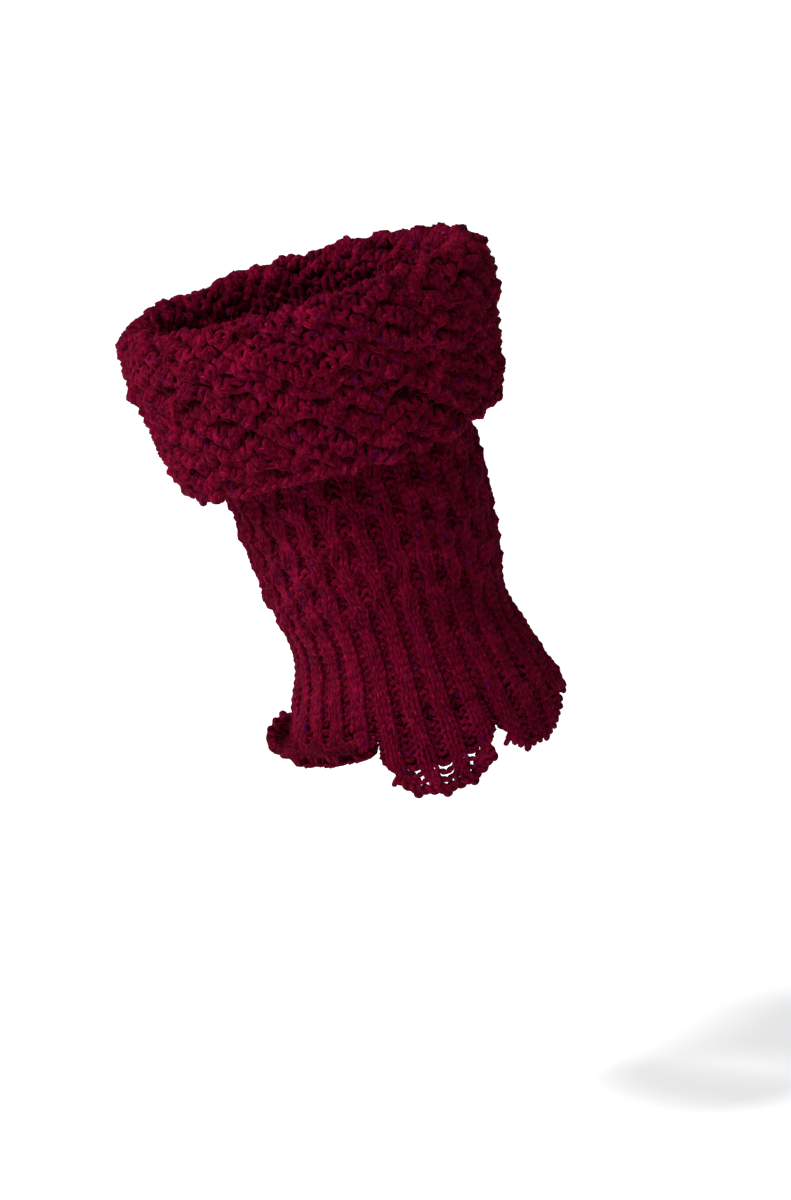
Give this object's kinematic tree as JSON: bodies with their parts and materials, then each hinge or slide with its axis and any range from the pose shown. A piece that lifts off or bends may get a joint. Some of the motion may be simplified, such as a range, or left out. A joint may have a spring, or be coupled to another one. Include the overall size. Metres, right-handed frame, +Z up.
{
  "type": "knitted boot cuff, worn shape",
  "caption": "Knitted boot cuff in heather burgundy wool: a leaning ribbed leg with a leaf pattern, a turned-down textured collar and a scalloped picot hem.",
  "frame": {"origin": "centre of the rib's narrowest ring, on the leg's leaning axis", "axes": "+Z up; +X to the right seen from the front, so the leg leans 16.6 degrees to -X; +Y from the front of the cuff to its back"},
  "size_m": [0.1344, 0.1141, 0.1654],
  "materials": {
    "leg_rib": "matte",
    "leg_pattern": "matte",
    "collar": "matte",
    "scallops": "matte",
    "edging": "matte"
  },
  "bodies": {
    "root": {"leg_rib": "leg_rib", "leg_pattern": "leg_pattern", "collar": "collar", "collar_edge": "edging", "scallop_front": "scallops", "scallop_front_right": "scallops", "scallop_right": "scallops", "scallop_back_right": "scallops", "scallop_back_left": "scallops", "scallop_left": "scallops", "scallop_front_left": "scallops", "picot_edge_front": "edging", "picot_edge_front_right": "edging", "picot_edge_right": "edging", "picot_edge_back_right": "edging", "picot_edge_back_left": "edging", "picot_edge_left": "edging", "picot_edge_front_left": "edging"}
  },
  "joints": []
}
